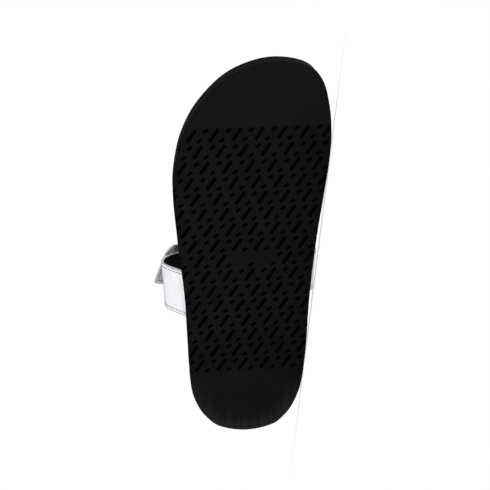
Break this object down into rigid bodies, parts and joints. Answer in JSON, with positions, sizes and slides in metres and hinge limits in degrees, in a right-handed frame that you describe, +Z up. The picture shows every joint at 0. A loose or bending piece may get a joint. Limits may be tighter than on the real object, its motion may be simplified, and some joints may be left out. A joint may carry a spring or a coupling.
{
  "type": "leather sandal",
  "caption": "Silver leather footbed sandal with a black slotted rubber sole, a wide medial panel, two straps and a folded closing strap, lying on its side.",
  "frame": {"origin": "on the floor, at the middle of the base of the bounding box of the sandal as it lies on its medial side", "axes": "+X from heel to toe along the floor, +Y from the tread towards the straps, +Z up from the floor towards the lateral side"},
  "size_m": [0.2612, 0.0896, 0.1129],
  "materials": {
    "outsole_rubber": "matte black rubber with scuffs",
    "footbed_foam": "matte black moulded foam",
    "insole_cover": "black suede-like cover",
    "upper_leather": "silver metallic leather, black lining",
    "strap_leather": "silver metallic leather, black lining"
  },
  "bodies": {
    "root": {"outsole": "outsole_rubber", "midsole": "footbed_foam", "insole": "insole_cover", "upper": "upper_leather", "closing_strap": "strap_leather"}
  },
  "joints": []
}
